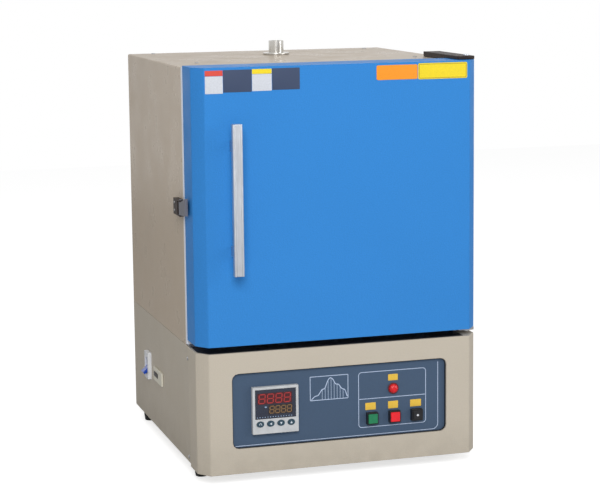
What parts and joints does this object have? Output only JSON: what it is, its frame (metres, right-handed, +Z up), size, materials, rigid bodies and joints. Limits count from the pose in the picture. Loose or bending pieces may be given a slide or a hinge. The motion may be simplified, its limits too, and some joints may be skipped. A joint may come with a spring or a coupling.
{
  "type": "box furnace",
  "caption": "Bench-top box furnace with a swinging insulated front door, a square heated chamber and a control base with keys, push buttons, side breaker and rear fan.",
  "frame": {"origin": "middle of the footprint, on the surface that the feet stand on", "axes": "+Z up, -Y towards the front (the door side), +X to the right as seen from the front"},
  "size_m": [0.4636, 0.5182, 0.6527],
  "materials": {
    "beige_enamel": "beige baked enamel, semi-gloss",
    "blue_enamel": "mid-blue baked enamel, semi-gloss",
    "white_enamel": "white baked enamel",
    "panel_film": "slate-blue printed film on sheet, matt",
    "plain_steel": "plain steel, zinc plated",
    "blackened_steel": "dark brown-black coating",
    "satin_aluminium": "satin anodised",
    "heating_alloy": "dark oxidised resistance alloy",
    "ceramic_fibre": "white fibre board, matt and slightly rough",
    "alumina_ceramic": "off-white fired ceramic, matt",
    "black_rubber": "black rubber, matt",
    "black_plastic": "black moulded plastic",
    "pale_plastic": "light grey moulded plastic",
    "display_window": "dark tinted window, glossy",
    "key_rubber": "dark teal key rubber",
    "cream_plastic": "cream moulded plastic",
    "white_plastic": "white moulded plastic",
    "blue_plastic": "blue moulded plastic, glossy",
    "red_lens": "red translucent lens, glossy",
    "green_cap": "green cap, glossy",
    "red_cap": "red cap, glossy"
  },
  "bodies": {
    "housing": {"cabinet_wrap": "beige_enamel", "cabinet_rear_panel": "beige_enamel", "deck_plate": "plain_steel", "front_frame": "white_enamel", "door_gasket": "ceramic_fibre", "inner_case": "plain_steel", "floor_insulation": "ceramic_fibre", "roof_insulation": "ceramic_fibre", "left_insulation": "ceramic_fibre", "right_insulation": "ceramic_fibre", "rear_insulation": "ceramic_fibre", "heating_element_left": "heating_alloy", "heating_element_right": "heating_alloy", "hearth_plate": "alumina_ceramic", "thermocouple": "alumina_ceramic", "exhaust_tube": "plain_steel", "exhaust_flange": "plain_steel", "upper_hinge_arm": "blackened_steel", "upper_hinge_pin": "plain_steel", "lower_hinge_arm": "plain_steel", "lower_hinge_pin": "plain_steel", "latch_bracket": "blackened_steel", "base_tub": "beige_enamel", "base_rear_panel": "beige_enamel", "base_front_bezel": "beige_enamel", "control_panel": "panel_film", "controller_body": "pale_plastic", "controller_window": "display_window", "heating_lamp": "red_lens", "start_button_bezel": "black_plastic", "stop_button_bezel": "black_plastic", "mode_button_bezel": "black_plastic", "breaker_body": "white_plastic", "signal_port": "cream_plastic", "fan_frame": "black_plastic", "cable_gland": "black_plastic", "solid_state_relay": "pale_plastic", "foot_front_left": "black_rubber", "foot_front_right": "black_rubber", "foot_rear_left": "black_rubber", "foot_rear_right": "black_rubber"},
    "door": {"door_shell": "blue_enamel", "door_liner": "white_enamel", "door_insulation": "ceramic_fibre", "door_plug": "ceramic_fibre", "upper_hinge_block": "plain_steel", "lower_hinge_block": "plain_steel", "handle_bar": "satin_aluminium", "handle_leg_upper": "satin_aluminium", "handle_leg_lower": "satin_aluminium"},
    "latch": {"latch_lever": "plain_steel"},
    "key_1": {"controller_key_1": "key_rubber"},
    "key_2": {"controller_key_2": "key_rubber"},
    "key_3": {"controller_key_3": "key_rubber"},
    "key_4": {"controller_key_4": "key_rubber"},
    "start_cap": {"start_button_cap": "green_cap"},
    "stop_cap": {"stop_button_cap": "red_cap"},
    "mode_cap": {"mode_button_cap": "black_plastic"},
    "breaker_toggle_body": {"breaker_lever": "blue_plastic"},
    "fan_wheel": {"fan_rotor": "black_plastic"}
  },
  "joints": [
    {"name": "door_hinge", "type": "hinge", "parent": "housing", "child": "door", "pos_m": [0.22077, -0.1987, 0.214], "axis": [0, 0, 1], "range_deg": [0, 150]},
    {"name": "latch_swing", "type": "hinge", "parent": "housing", "child": "latch", "pos_m": [-0.22303, -0.1527, 0.4168], "axis": [0, 0, -1], "range_deg": [0, 95]},
    {"name": "controller_key_1_press", "type": "slide", "parent": "housing", "child": "key_1", "axis": [0, 1, 0], "range_m": [0, 0.0008], "stiffness_N_per_m": 400},
    {"name": "controller_key_2_press", "type": "slide", "parent": "housing", "child": "key_2", "axis": [0, 1, 0], "range_m": [0, 0.0008], "stiffness_N_per_m": 400},
    {"name": "controller_key_3_press", "type": "slide", "parent": "housing", "child": "key_3", "axis": [0, 1, 0], "range_m": [0, 0.0008], "stiffness_N_per_m": 400},
    {"name": "controller_key_4_press", "type": "slide", "parent": "housing", "child": "key_4", "axis": [0, 1, 0], "range_m": [0, 0.0008], "stiffness_N_per_m": 400},
    {"name": "start_button_press", "type": "slide", "parent": "housing", "child": "start_cap", "axis": [0, 1, 0], "range_m": [0, 0.003], "stiffness_N_per_m": 600},
    {"name": "stop_button_press", "type": "slide", "parent": "housing", "child": "stop_cap", "axis": [0, 1, 0], "range_m": [0, 0.003], "stiffness_N_per_m": 600},
    {"name": "mode_button_press", "type": "slide", "parent": "housing", "child": "mode_cap", "axis": [0, 1, 0], "range_m": [0, 0.003], "stiffness_N_per_m": 600},
    {"name": "breaker_toggle", "type": "hinge", "parent": "housing", "child": "breaker_toggle_body", "pos_m": [-0.21523, 0.1218, 0.116], "axis": [0, 1, 0], "range_deg": [0, 80]},
    {"name": "fan_spin", "type": "hinge", "parent": "housing", "child": "fan_wheel", "pos_m": [0.11677, 0.2265, 0.112], "axis": [0, 1, 0], "continuous": true}
  ]
}
